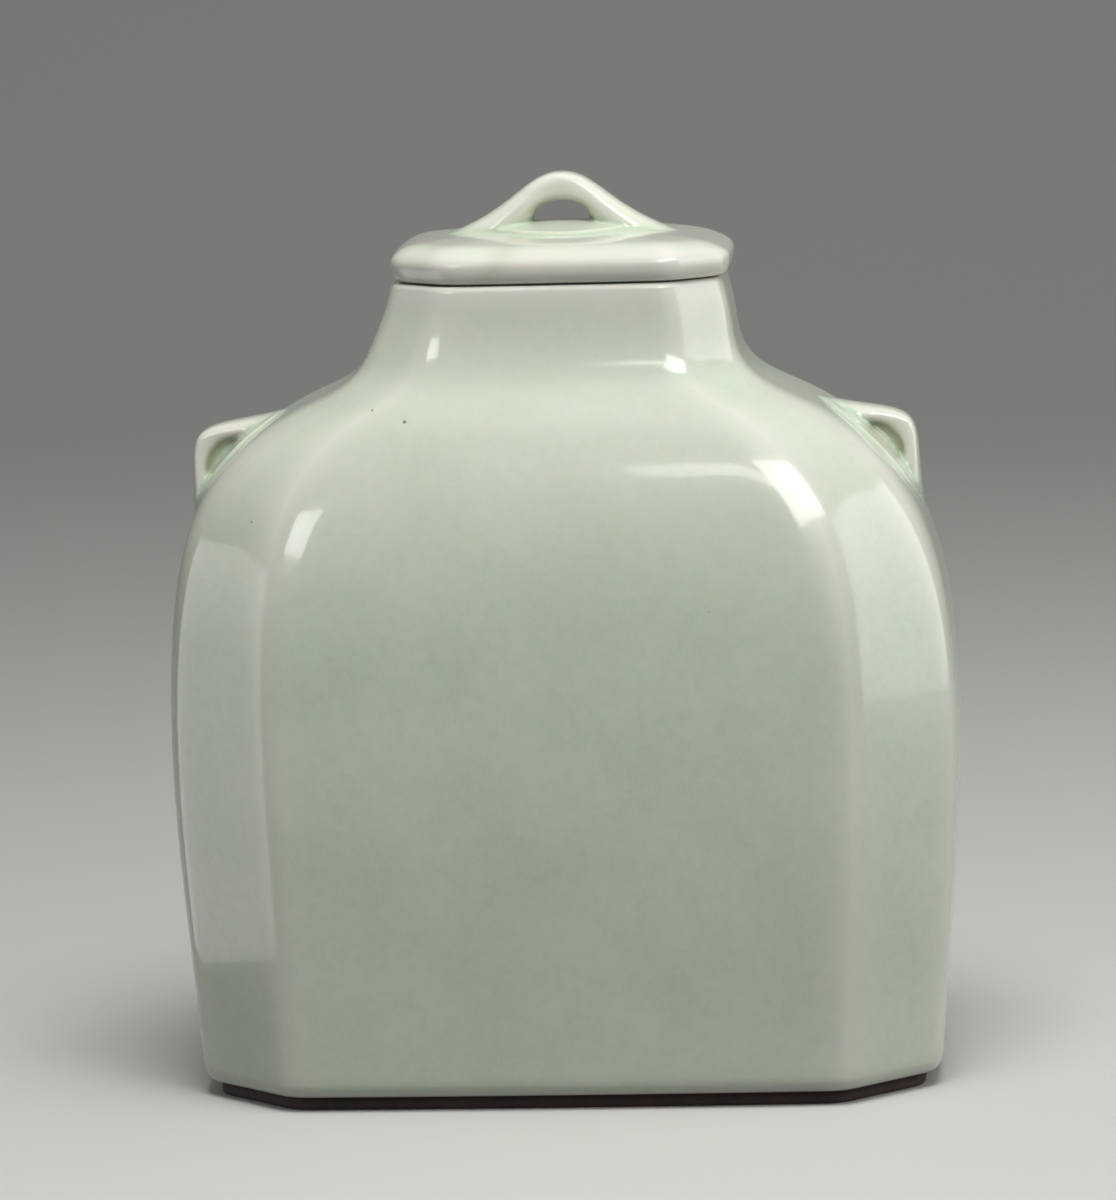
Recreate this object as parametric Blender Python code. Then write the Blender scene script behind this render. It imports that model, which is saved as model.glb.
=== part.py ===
"""A lidded celadon jar: flattened, with canted corners, a waisted neck, a domed lid and three cord loops.

Metres, +Z up. The origin is on the table under the middle of the jar, +X runs along its width and the
broad faces look along -Y and +Y. Each clay piece that the potter made by itself and luted on is one object.
"""
import math

import bmesh
import bpy
import numpy as np
from mathutils import Vector

# Clearances
GAP = 0.0003
FLANGE_PLAY = 0.0016

# Jar outline, from the foot to the mouth
FOOT_HEIGHT = 0.0030
FOOT_INSET = 0.0010
FOOT_RING_WIDTH = 0.0065
FOOT_ROUND = 0.0008
TURN_IN_HEIGHT = 0.0042
TURN_IN_WIDTH = 0.0034
HEEL_WIDTH = 0.1824
HEEL_DEPTH = 0.1050
HEEL_CANT = 0.0210
HEEL_CORNER = 0.0060
BELLY_HEIGHT = 0.0875
BELLY_WIDTH = 0.1926
BELLY_DEPTH = 0.1130
BELLY_CANT = 0.0226
BELLY_CORNER = 0.0080
SHOULDER_LIFT = 0.0440
SHOULDER_REACH = 0.0326
SHOULDER_CANT = 0.0185
SHOULDER_CORNER = 0.0120
ROOT_HEIGHT = 0.1681
ROOT_WIDTH = 0.1184
ROOT_DEPTH = 0.0824
ROOT_CANT = 0.0150
ROOT_CORNER = 0.0100
SIDE_SLOPE = math.radians(23.1)
FRONT_SLOPE = math.radians(46.0)
NECK_REACH = 0.0129
NECK_LIFT = 0.0165
NECK_FLARE = math.radians(7.6)
MOUTH_HEIGHT = 0.1973
MOUTH_WIDTH = 0.0812
MOUTH_DEPTH = 0.0670
MOUTH_CANT = 0.0118
MOUTH_CORNER = 0.0050
LIP_ROUND = 0.0015
FACE_CROWN = 0.030

# Inside of the jar
WALL = 0.0050
RECESS_DEPTH = 0.0070
BASE_THICKNESS = 0.0058
FLOOR_FILLET = 0.0070

# Lid
LID_OVERHANG = 0.0008
LOWER_ROUND_HEIGHT = 0.0042
LOWER_ROUND_WIDTH = 0.0022
UPPER_ROUND_HEIGHT = 0.0052
UPPER_ROUND_WIDTH = 0.0090
DOME_RISE = 0.0016
LID_HOLLOW = 0.0052
FLANGE_THICKNESS = 0.0040
FLANGE_LENGTH = 0.0080

# Pads and cord loops
PAD_RADIUS = 0.0171
PAD_BEAD = 0.0004
PAD_SKIRT = 0.0086
STRAP_WIDTH = 0.0110
STRAP_FOOT_WIDTH = 0.0190
STRAP_ROOT = 0.0014
STRAP_SINK = 0.0013
STRAP_SQUARENESS = 0.8
HOLE_ROUND = (0.62, 1.05)
LUG_HEIGHT = 0.1538
LUG_PAD_EDGE = 0.0007
LUG_PAD_CROWN = 0.0019
LUG_LOOP_HEIGHT = 0.0097
LUG_LOOP_CREST = 0.0078
LUG_LOOP_WAIST = (0.0053, 0.0013)
LUG_LOOP_TAIL = 0.0079
LUG_HOLE_WIDTH = 0.0118
LUG_HOLE_TOP = 0.0042
LID_PAD_EDGE = 0.0005
LID_PAD_CROWN = 0.0017
LID_LOOP_HEIGHT = 0.0137
LID_LOOP_CREST = 0.0102
LID_LOOP_WAIST = (0.0012, 0.0024)
LID_LOOP_TAIL = 0.0135
LID_HOLE_WIDTH = 0.0136
LID_HOLE_TOP = 0.0067

# Facets
CORNER_STEPS = 3
BROAD_STEPS = 4
SIDE_STEPS = 2
CANT_STEPS = 2
LOWER_STEPS = 5
SHOULDER_STEPS = 9
NECK_STEPS = 7
ROUND_STEPS = 3
DOME_STEPS = 5
PAD_SIDES = 36
CROWN_STEPS = 4
LOOP_STEPS = 9
STRAP_SIDES = 14
SEAT_STEPS = 72
SMOOTH_ANGLE = math.radians(35.0)

# A 45 degree face shortens by this much of the distance that its outline moves in
CANT_SHARE = 2 - math.sqrt(2)

# Where each value of a section stands in its list
WIDE, DEEP, CANT, CORNER, HIGH = range(5)


def section(half_width, half_depth, cant, corner, height):
    """One level of the jar: an octagon's half sizes, its corner cut, its corner radius and its height."""
    return np.array((half_width, half_depth, cant, corner, height))


def inset(level, distance, height):
    """The same octagon drawn in by a distance, at another height."""
    moved = level.copy()
    moved[WIDE] -= distance
    moved[DEEP] -= distance
    moved[CANT] -= distance * CANT_SHARE
    moved[CORNER] = max(level[CORNER] - distance / 2, level[CORNER] / 2)
    moved[HIGH] = height
    return moved


def bezier(ends, steps):
    """Levels along a cubic curve through its four control levels, and the direction at each."""
    start, leave, arrive, stop = ends
    levels = []
    directions = []
    for t in np.linspace(0, 1, steps + 1):
        s = 1 - t
        levels.append(s**3 * start + 3 * s * s * t * leave + 3 * s * t * t * arrive + t**3 * stop)
        directions.append(3 * (s * s * (leave - start) + 2 * s * t * (arrive - leave) + t * t * (stop - arrive)))
    return levels, directions


def ring_points(level):
    """The points of one level, counter-clockwise from above, with rounded corners and slightly crowned faces."""
    half_width, half_depth, cant, corner, height = level
    flat_width = half_width / (1 + FACE_CROWN)
    flat_depth = half_depth / (1 + FACE_CROWN)
    side = flat_depth - cant
    broad = flat_width - cant
    corners = ((flat_width, side), (broad, flat_depth), (-broad, flat_depth), (-flat_width, side),
               (-flat_width, -side), (-broad, -flat_depth), (broad, -flat_depth), (flat_width, -side))
    steps_after = (CANT_STEPS, BROAD_STEPS, CANT_STEPS, SIDE_STEPS) * 2
    eighth = math.pi / 4
    arcs = []
    for number, (x, y) in enumerate(corners):
        middle = (number + 0.5) * eighth
        reach = corner / math.cos(eighth / 2)
        centre_x = x - reach * math.cos(middle)
        centre_y = y - reach * math.sin(middle)
        turn = [(number + step / CORNER_STEPS) * eighth for step in range(CORNER_STEPS + 1)]
        arcs.append([(centre_x + corner * math.cos(a), centre_y + corner * math.sin(a)) for a in turn])
    outline = []
    for number, arc in enumerate(arcs):
        outline += arc
        (x0, y0), (x1, y1) = arc[-1], arcs[(number + 1) % len(arcs)][0]
        steps = steps_after[number]
        outline += [(x0 + (x1 - x0) * k / steps, y0 + (y1 - y0) * k / steps) for k in range(1, steps)]
    crowned = []
    for x, y in outline:
        wider = 1 + FACE_CROWN * (1 - (y / flat_depth) ** 2)
        deeper = 1 + FACE_CROWN * (1 - (x / flat_width) ** 2)
        crowned.append(Vector((x * wider, y * deeper, height)))
    return crowned


def loft(rings, closed):
    """A mesh through rings of equal count: closed into a tube's wall, or else capped at both ends."""
    mesh = bmesh.new()
    loops = [[mesh.verts.new(point) for point in ring] for ring in rings]
    pairs = list(zip(loops, loops[1:]))
    if closed:
        pairs.append((loops[-1], loops[0]))
    else:
        mesh.faces.new(list(reversed(loops[0])))
        mesh.faces.new(loops[-1])
    for low, high in pairs:
        for number in range(len(low)):
            beside = (number + 1) % len(low)
            mesh.faces.new((low[number], low[beside], high[beside], high[number]))
    return mesh


def place(name, mesh, collection, material=None, parent=None):
    """An object from a bmesh, smooth where its faces meet at a shallow angle."""
    data = bpy.data.meshes.new(name)
    mesh.to_mesh(data)
    mesh.free()
    data.shade_smooth()
    data.set_sharp_from_angle(angle=SMOOTH_ANGLE)
    if material:
        data.materials.append(material)
    thing = bpy.data.objects.new(name, data)
    collection.objects.link(thing)
    thing.parent = parent
    return thing


def cutter(name, mesh, collection, parent=None):
    """A guide that other pieces are cut by: wire in the viewport and never rendered."""
    thing = place(name, mesh, collection, parent=parent)
    thing.hide_render = True
    thing.display_type = 'WIRE'
    return thing


def cut(thing, *guides):
    """Take the guides away from a piece, so that it sits on what they stand for."""
    for guide in guides:
        seat = thing.modifiers.new("seat_on_" + guide.name, 'BOOLEAN')
        seat.operation = 'DIFFERENCE'
        seat.solver = 'EXACT'
        seat.object = guide


def material(name, colour, roughness):
    """A Principled finish."""
    finish = bpy.data.materials.new(name)
    finish.use_nodes = True
    shader = finish.node_tree.nodes["Principled BSDF"]
    shader.inputs["Base Color"].default_value = (*colour, 1)
    shader.inputs["Roughness"].default_value = roughness
    shader.inputs["Metallic"].default_value = 0
    return finish


def empty(name, collection, location, tilt=0.0, parent=None):
    """An axis that pieces hang on, tilted about the Y direction."""
    axis = bpy.data.objects.new(name, None)
    axis.empty_display_size = PAD_RADIUS
    collection.objects.link(axis)
    axis.parent = parent
    axis.location = location
    axis.rotation_euler = (0, tilt, 0)
    return axis


def jar_spans():
    """The four control levels of the lower wall, of the shoulder and of the neck."""
    heel = section(HEEL_WIDTH / 2, HEEL_DEPTH / 2, HEEL_CANT, HEEL_CORNER, FOOT_HEIGHT + GAP + TURN_IN_HEIGHT)
    belly = section(BELLY_WIDTH / 2, BELLY_DEPTH / 2, BELLY_CANT, BELLY_CORNER, BELLY_HEIGHT)
    root = section(ROOT_WIDTH / 2, ROOT_DEPTH / 2, ROOT_CANT, ROOT_CORNER, ROOT_HEIGHT)
    mouth = section(MOUTH_WIDTH / 2, MOUTH_DEPTH / 2, MOUTH_CANT, MOUTH_CORNER, MOUTH_HEIGHT - LIP_ROUND)
    upright = section(0, 0, 0, 0, 1)
    below_belly = belly - upright * (BELLY_HEIGHT - heel[HIGH]) / 3
    above_belly = belly + upright * SHOULDER_LIFT
    # The side faces and the broad faces fall away from the neck's root at their own slopes
    slope = section(math.cos(SIDE_SLOPE), math.sin(SIDE_SLOPE) / math.tan(FRONT_SLOPE), 0, 0, -math.sin(SIDE_SLOPE))
    below_root = root + slope * SHOULDER_REACH
    below_root[CANT] = SHOULDER_CANT
    below_root[CORNER] = SHOULDER_CORNER
    above_root = root - slope * NECK_REACH
    above_root[CANT] = (ROOT_CANT + MOUTH_CANT) / 2
    above_root[CORNER] = (ROOT_CORNER + MOUTH_CORNER) / 2
    flare = section(math.sin(NECK_FLARE), math.sin(NECK_FLARE), 0, 0, -math.cos(NECK_FLARE))
    below_mouth = mouth + flare * NECK_LIFT
    lower = (heel, heel + (belly - heel) / 3, below_belly, belly)
    shoulder = (belly, above_belly, below_root, root)
    neck = (root, above_root, below_mouth, mouth)
    return lower, shoulder, neck


def inside(levels, directions):
    """The levels of the inner wall: the outer ones moved in square to the surface by the wall's thickness."""
    moved = []
    for level, way in zip(levels, directions):
        side_length = math.hypot(way[WIDE], way[HIGH])
        front_length = math.hypot(way[DEEP], way[HIGH])
        inner = level.copy()
        inner[WIDE] -= WALL * way[HIGH] / side_length
        inner[DEEP] -= WALL * way[HIGH] / front_length
        inner[HIGH] += WALL * (way[WIDE] / side_length + way[DEEP] / front_length) / 2
        inner[CANT] -= WALL * CANT_SHARE
        inner[CORNER] -= WALL / 2
        moved.append(inner)
    return moved


def level_at(levels, height):
    """The level at a height, between the two of a rising list that lie below and above it."""
    for low, high in zip(levels, levels[1:]):
        if low[HIGH] <= height <= high[HIGH]:
            return low + (high - low) * (height - low[HIGH]) / (high[HIGH] - low[HIGH])
    raise ValueError("no level at that height")


def jar_walls():
    """The outer and inner levels of the jar, each rising: below the neck's root, and above it."""
    lower, shoulder, neck = jar_spans()
    lower_levels, lower_ways = bezier(lower, LOWER_STEPS)
    shoulder_levels, shoulder_ways = bezier(shoulder, SHOULDER_STEPS)
    neck_levels, neck_ways = bezier(neck, NECK_STEPS)
    heel = lower_levels[0]
    turn_in = []
    for step in range(ROUND_STEPS, 0, -1):
        angle = step / ROUND_STEPS * math.pi / 2
        turned = inset(heel, TURN_IN_WIDTH * (1 - math.cos(angle)), heel[HIGH] - TURN_IN_HEIGHT * math.sin(angle))
        turn_in.append(turned)
    outer_body = turn_in + lower_levels + shoulder_levels[1:]
    inner = inside(lower_levels + shoulder_levels[1:] + neck_levels[1:],
                   lower_ways + shoulder_ways[1:] + neck_ways[1:])
    throat = level_at(inner, ROOT_HEIGHT)
    floor_top = RECESS_DEPTH + BASE_THICKNESS
    edge = turn_in[0]
    well = inset(edge, FOOT_INSET + FOOT_RING_WIDTH, edge[HIGH])
    wall_starts = floor_top + FLOOR_FILLET
    inner_body = [well, inset(well, 0, floor_top)]
    inner_body += [level_at(inner, wall_starts)]
    inner_body += [level for level in inner if wall_starts < level[HIGH] < throat[HIGH]]
    inner_body += [throat]
    lifted = throat.copy()
    lifted[HIGH] += GAP
    seam = neck_levels[0].copy()
    seam[HIGH] += GAP
    outer_neck = [seam] + neck_levels[1:]
    inner_neck = [lifted] + [level for level in inner if level[HIGH] > lifted[HIGH]]
    return outer_body, inner_body, outer_neck, inner_neck


def round_over(level, width, rise):
    """Levels of a quarter of an oval that turns a rising wall inwards, above the level."""
    turned = []
    for step in range(1, ROUND_STEPS + 1):
        angle = step / ROUND_STEPS * math.pi / 2
        turned.append(inset(level, width * (1 - math.cos(angle)), level[HIGH] + rise * math.sin(angle)))
    return turned


def wall_between(outer, inner):
    """A tube's wall from rising outer levels and rising inner ones."""
    return loft([ring_points(level) for level in outer + list(reversed(inner))], closed=True)


def solid(levels):
    """A closed solid from rising levels."""
    return loft([ring_points(level) for level in levels], closed=False)


def make_jar(parts, guides, glaze, biscuit):
    """The press-moulded body, its base slab, the trimmed foot ring and the neck collar."""
    outer_body, inner_body, outer_neck, inner_neck = jar_walls()
    place("jar_body", wall_between(outer_body, inner_body), parts, glaze)

    lip_outer = round_over(outer_neck[-1], LIP_ROUND, LIP_ROUND)
    lip_start = inner_neck[-1]
    lip_start[HIGH] = outer_neck[-1][HIGH]
    lip_inner = []
    for level in round_over(lip_start, LIP_ROUND, LIP_ROUND):
        lip_inner.append(inset(lip_start, level[WIDE] - lip_start[WIDE], level[HIGH]))
    place("neck_collar", wall_between(outer_neck + lip_outer, inner_neck + lip_inner), parts, glaze)

    well = inner_body[0]
    slab = [inset(well, GAP, RECESS_DEPTH), inset(well, GAP, RECESS_DEPTH + BASE_THICKNESS)]
    place("base_slab", solid(slab), parts, glaze)

    edge = outer_body[0]
    outside = inset(edge, FOOT_INSET, FOOT_HEIGHT)
    outer_foot = [inset(outside, FOOT_ROUND, 0), inset(outside, 0, FOOT_ROUND), outside]
    inner_foot = [inset(well, -FOOT_ROUND, 0), inset(well, 0, FOOT_ROUND), inset(well, 0, FOOT_HEIGHT)]
    place("foot_ring", wall_between(outer_foot, inner_foot), parts, biscuit)

    # A copy of the whole outside, one gap larger, cuts the seats of the lugs
    around = [inset(level, -GAP / math.cos(SIDE_SLOPE), level[HIGH]) for level in outer_body[:-1] + outer_neck]
    return cutter("jar_outside", solid(around), guides), inner_neck


def fall_at(falls, x, y):
    """How far a surface has curved away from its tangent plane, from its falls at a pad's rim on -X, +X and Y."""
    before, after, across = falls
    along = after if x > 0 else before
    return (along * x * x + across * y * y) / PAD_RADIUS**2


def pad_mesh(edge, crown, falls, grow=0.0):
    """A low round pad that follows the curved surface that it is pressed on to."""
    radius = PAD_RADIUS + grow

    def circle(reach, height, follows):
        points = []
        for number in range(PAD_SIDES):
            angle = 2 * math.pi * number / PAD_SIDES
            x = reach * math.cos(angle)
            y = reach * math.sin(angle)
            points.append(Vector((x, y, height - fall_at(falls, x, y) * follows)))
        return points

    rings = [circle(radius, -PAD_SKIRT, 0), circle(radius, edge - PAD_BEAD, 1)]
    rings.append(circle(radius - PAD_BEAD, edge + PAD_BEAD / 2 + grow, 1))
    flat = PAD_RADIUS - 2 * PAD_BEAD
    for step in range(CROWN_STEPS):
        share = 1 - step / CROWN_STEPS
        rings.append(circle(share * flat, edge + (crown - edge) * (1 - share**2) + grow, 1))
    return loft(rings, closed=False)


def arch(points, t):
    """A point of a cubic curve in the plane of a loop's arch, for t from 0 at its top to 1 at its foot."""
    s = 1 - t
    weights = (s**3, 3 * s * s * t, 3 * s * t * t, t**3)
    x = sum(weight * point[0] for weight, point in zip(weights, points))
    z = sum(weight * point[1] for weight, point in zip(weights, points))
    return x, z


def loop_mesh(height, crest, waist, tail, hole_width, hole_top, pad_edge, falls):
    """A pulled strap bent into an arch over its pad: thick at its top, and spreading into two wide feet.

    The outer curve leaves its top level for the crest's length and runs down past the waist, which is measured
    in from the pad's rim and up from it, to tips that pass the rim by the tail.
    """
    hole = hole_width / 2
    in_from_rim, over_rim = waist
    outer = ((0, height), (crest, height), (PAD_RADIUS - in_from_rim, pad_edge + over_rim),
             (PAD_RADIUS + tail, -STRAP_SINK))
    round_out, round_down = HOLE_ROUND
    inner = ((0, hole_top), (hole * round_out, hole_top), (hole, hole_top * round_down),
             (hole, -STRAP_SINK - STRAP_ROOT))
    rings = []
    for step in range(-LOOP_STEPS, LOOP_STEPS + 1):
        t = abs(step) / LOOP_STEPS
        side = math.copysign(1, step)
        outer_x, outer_z = arch(outer, t)
        inner_x, inner_z = arch(inner, t)
        centre = Vector((side * (outer_x + inner_x) / 2, 0, (outer_z + inner_z) / 2))
        across = Vector((side * (outer_x - inner_x) / 2, 0, (outer_z - inner_z) / 2))
        spread = (STRAP_WIDTH + (STRAP_FOOT_WIDTH - STRAP_WIDTH) * t * t * (3 - 2 * t)) / 2
        ring = []
        for number in range(STRAP_SIDES):
            angle = 2 * math.pi * number / STRAP_SIDES
            out = math.copysign(abs(math.cos(angle)) ** STRAP_SQUARENESS, math.cos(angle))
            along = math.copysign(abs(math.sin(angle)) ** STRAP_SQUARENESS, math.sin(angle))
            point = centre + across * out - Vector((0, spread * along, 0))
            point.z -= fall_at(falls, point.x, point.y)
            ring.append(point)
        rings.append(ring)
    return loft(rings, closed=False)


def make_lug(name, parts, guides, glaze, axis, falls, jar_outside):
    """A pad on the shoulder with its cord loop, both cut to the surface that they sit on."""
    pad = place(name + "_pad", pad_mesh(LUG_PAD_EDGE, LUG_PAD_CROWN, falls), parts, glaze, axis)
    cut(pad, jar_outside)
    pad_top = cutter(name + "_pad_seat", pad_mesh(LUG_PAD_EDGE, LUG_PAD_CROWN, falls, GAP), guides, axis)
    strap = loop_mesh(LUG_LOOP_HEIGHT, LUG_LOOP_CREST, LUG_LOOP_WAIST, LUG_LOOP_TAIL,
                      LUG_HOLE_WIDTH, LUG_HOLE_TOP, LUG_PAD_EDGE, falls)
    loop = place(name + "_loop", strap, parts, glaze, axis)
    cut(loop, jar_outside, pad_top)


def lug_seat():
    """Where the shoulder's side face is at the lugs' height, its lean, and its falls at a pad's rim."""
    levels, ways = bezier(jar_spans()[1], SEAT_STEPS)
    middle = min(range(len(levels)), key=lambda number: abs(levels[number][HIGH] - LUG_HEIGHT))
    seat = levels[middle]
    lean = math.atan2(ways[middle][HIGH], -ways[middle][WIDE])
    out = (math.sin(lean), math.cos(lean))
    falls = []
    for side in (levels[middle + 1:], levels[:middle]):
        gaps = [(level[WIDE] - seat[WIDE], level[HIGH] - seat[HIGH]) for level in side]
        rim = min(gaps, key=lambda gap: abs(math.hypot(*gap) - PAD_RADIUS))
        falls.append(-(rim[0] * out[0] + rim[1] * out[1]))
    upper, lower = falls
    across = FACE_CROWN * seat[WIDE] * (PAD_RADIUS / seat[DEEP]) ** 2
    return seat, lean, (upper, lower, across)


def make_lid(parts, guides, glaze, bare, throat_levels):
    """The domed cover, its locating flange, the pad on top and the loop that lifts it."""
    seat_height = MOUTH_HEIGHT + GAP
    mouth = section(MOUTH_WIDTH / 2, MOUTH_DEPTH / 2, MOUTH_CANT, MOUTH_CORNER, seat_height)
    widest = inset(mouth, -LID_OVERHANG, seat_height + LOWER_ROUND_HEIGHT)
    mouth_hole = level_at(throat_levels, MOUTH_HEIGHT - LIP_ROUND - FLANGE_LENGTH / 2)
    mouth_hole = inset(mouth_hole, mouth_hole[WIDE] - throat_levels[-1][WIDE], seat_height)

    axis = empty("lid_axis", parts, (0, 0, 0))
    flange_outer = inset(mouth_hole, FLANGE_PLAY, MOUTH_HEIGHT)
    flange_inner = inset(flange_outer, FLANGE_THICKNESS, MOUTH_HEIGHT)
    tip = MOUTH_HEIGHT - FLANGE_LENGTH
    outer_flange = [inset(flange_outer, LIP_ROUND, tip), inset(flange_outer, 0, tip + LIP_ROUND), flange_outer]
    inner_flange = [inset(flange_inner, 0, tip), flange_inner]
    place("lid_flange", wall_between(outer_flange, inner_flange), parts, bare, axis)

    lower_round = []
    for step in range(ROUND_STEPS, 0, -1):
        angle = step / ROUND_STEPS * math.pi / 2
        lower_round.append(inset(widest, LOWER_ROUND_WIDTH * (1 - math.cos(angle)),
                                 widest[HIGH] - LOWER_ROUND_HEIGHT * math.sin(angle)))
    upper_round = round_over(widest, UPPER_ROUND_WIDTH, UPPER_ROUND_HEIGHT)
    brow = upper_round[-1]
    dome = []
    for step in range(1, DOME_STEPS):
        share = 1 - step / DOME_STEPS
        shrunk = brow * share
        shrunk[HIGH] = brow[HIGH] + DOME_RISE * (1 - share**2)
        dome.append(shrunk)
    outside = lower_round + [widest] + upper_round + dome
    roof = inset(flange_inner, LIP_ROUND, seat_height + LID_HOLLOW)
    hollow = [roof, inset(flange_inner, 0, seat_height + LID_HOLLOW - LIP_ROUND),
              inset(flange_inner, 0, seat_height)]
    place("lid_cover", solid(hollow + outside), parts, glaze, axis)

    top = empty("lid_top", parts, (0, 0, brow[HIGH] + DOME_RISE), parent=axis)
    around = [inset(level, -GAP / 2, level[HIGH] + GAP) for level in outside]
    lid_outside = cutter("lid_outside", solid(around), guides)
    falls = [DOME_RISE * (PAD_RADIUS / brow[side]) ** 2 for side in (WIDE, WIDE, DEEP)]
    pad = place("lid_pad", pad_mesh(LID_PAD_EDGE, LID_PAD_CROWN, falls), parts, glaze, top)
    cut(pad, lid_outside)
    pad_top = cutter("lid_pad_seat", pad_mesh(LID_PAD_EDGE, LID_PAD_CROWN, falls, GAP), guides, top)
    strap = loop_mesh(LID_LOOP_HEIGHT, LID_LOOP_CREST, LID_LOOP_WAIST, LID_LOOP_TAIL,
                      LID_HOLE_WIDTH, LID_HOLE_TOP, LID_PAD_EDGE, falls)
    loop = place("lid_loop", strap, parts, glaze, top)
    cut(loop, pad_top, lid_outside)


def main():
    for thing in list(bpy.data.objects):
        bpy.data.objects.remove(thing)
    parts = bpy.data.collections.new("lidded_jar")
    guides = bpy.data.collections.new("cutters")
    bpy.context.scene.collection.children.link(parts)
    bpy.context.scene.collection.children.link(guides)

    glaze = material("celadon_glaze", (0.52, 0.60, 0.49), 0.08)
    biscuit = material("iron_brown_biscuit", (0.035, 0.020, 0.014), 0.75)
    bare = material("bare_porcelain", (0.72, 0.69, 0.62), 0.6)

    jar_outside, throat_levels = make_jar(parts, guides, glaze, biscuit)
    seat, lean, falls = lug_seat()
    upper, lower, across = falls
    for name, side, along in (("left_lug", -1, (lower, upper)), ("right_lug", 1, (upper, lower))):
        axis = empty(name + "_axis", parts, (side * seat[WIDE], 0, seat[HIGH]), side * lean)
        make_lug(name, parts, guides, glaze, axis, (*along, across), jar_outside)
    make_lid(parts, guides, glaze, bare, throat_levels)


main()
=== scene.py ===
"""A lidded celadon jar with canted corners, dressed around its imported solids.

The glazed jar, its bare brown foot, the two shoulder loops, the lid, the lid's flange and its handle are
each one piece. The clay pieces inside one of them were luted together and then covered by one skin of glaze,
so the skin runs over their joins in soft fillets.
"""

import math

import bmesh
import bpy
import numpy as np
from mathutils import Matrix, Quaternion, Vector
from mathutils.bvhtree import BVHTree


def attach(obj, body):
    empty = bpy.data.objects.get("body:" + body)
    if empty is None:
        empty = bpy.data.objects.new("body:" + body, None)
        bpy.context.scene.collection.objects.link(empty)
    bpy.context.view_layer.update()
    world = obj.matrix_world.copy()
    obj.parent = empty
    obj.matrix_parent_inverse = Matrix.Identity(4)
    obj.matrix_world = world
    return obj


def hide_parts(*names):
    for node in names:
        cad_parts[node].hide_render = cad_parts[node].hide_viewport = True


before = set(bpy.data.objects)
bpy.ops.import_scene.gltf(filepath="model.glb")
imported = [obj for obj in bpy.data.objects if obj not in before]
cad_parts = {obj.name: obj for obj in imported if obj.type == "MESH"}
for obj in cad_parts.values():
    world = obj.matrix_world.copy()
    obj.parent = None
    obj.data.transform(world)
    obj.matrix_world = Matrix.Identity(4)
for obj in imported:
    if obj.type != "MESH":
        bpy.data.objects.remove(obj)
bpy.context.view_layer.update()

# Sizes in metres, most of them the solids' own. The sweep of the lid's upper round is in degrees, and the
# crown of the faces is a share of their distance from the middle
GAP = 0.0003
FOOT_HEIGHT = 0.0030
FOOT_INSET = 0.0010
FOOT_RING_WIDTH = 0.0065
FOOT_ROUND = 0.0008
TURN_IN_HEIGHT = 0.0042
TURN_IN_WIDTH = 0.0034
RECESS_DEPTH = 0.0070
BASE_THICKNESS = 0.0058
FLOOR_FILLET = 0.0070
WALL = 0.0050
LIP_ROUND = 0.0015
MOUTH_HEIGHT = 0.1973
SEAT = MOUTH_HEIGHT + GAP
FACE_CROWN = 0.030
FLANGE_PLAY = 0.0016
FLANGE_THICKNESS = 0.0040
FLANGE_LENGTH = 0.0080
LID_OVERHANG = 0.0008
LID_CORNER = 0.0105
LOWER_ROUND_HEIGHT = 0.0042
LOWER_ROUND_WIDTH = 0.0022
UPPER_ROUND_HEIGHT = 0.0052
UPPER_ROUND_WIDTH = 0.0090
UPPER_ROUND_SWEEP = 78.0
DOME_RISE = 0.0016
LID_HOLLOW = 0.0052
PAD_RADIUS = 0.0171
STRAP_WIDTH = 0.0110
STRAP_FOOT_WIDTH = 0.0132

# The skin keeps this far inside the solids' box, and the flange's top this far over the lid's seat
INSIDE_BOX = 0.0001
FLANGE_SEAM = 0.0001
# Points closer than this are merged, and this is the width of an outline that has shrunk to nothing
MERGE = 0.000002
TINY = 1e-9

# Steps round each outline: a rounded corner, a broad face, a narrow side and a canted corner
CORNER_STEPS = 8
BROAD_STEPS = 30
SIDE_STEPS = 16
CANT_STEPS = 12
# Steps along each stretch of a wall, a round or a flat
LOWER_STEPS = 40
SHOULDER_STEPS = 52
NECK_STEPS = 30
ROUND_STEPS = 8
FLAT_STEPS = 6
WELL_STEPS = 3
FOOT_ROUND_STEPS = 4
FLANGE_STEPS = 4
TIP_STEPS = 5
HOLLOW_ROUND_STEPS = 4
UPPER_ROUND_STEPS = 14
DOME_STEPS = 24
# The places of a level's five numbers, and how much a cut shrinks when its octagon is drawn in
WIDE, DEEP, CANT, CORNER, HIGH = range(5)
CANT_SHARE = 2 - math.sqrt(2)

# The potter's hand: the shoulder leans to the left, the mouth to the right, the lid lies off the middle with
# its right end low, and the shoulder loops, left and right, have slipped along their pads
LEAN = -0.0016
LEAN_HEIGHT = 0.158
LEAN_SPREAD = 0.032
MOUTH_LEAN = 0.0010
MOUTH_LEAN_START = 0.178
MOUTH_LEAN_END = 0.192
LID_SHIFT = 0.0015
LID_DROOP = 0.0011
DROOP_START = 0.024
DROOP_END = 0.042
DROOP_BAND = 0.004
DROOP_POWER = 1.5
HANDLE_SHIFT = 0.0013
LUG_SLIPS = {-1: 0.0003, 1: -0.0009}
# Slow waves in the faces: how strong, how fast along x, y and z in radians a metre, and where each starts
WAVES = ((1.0, (71, 53, 38), 0.6), (1.0, (-47, 83, 92), 2.1),
         (0.7, (118, -61, -64), 4.0), (0.5, (97, 134, 151), 1.3))
WAVE_DEPTH = 0.00003
LID_WAVES = 1.2


# Ways to shade a value

def ramp(values, start, end):
    """From 0 at the start to 1 at the end, and held there."""
    return np.clip((values - start) / (end - start), 0, 1)


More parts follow.
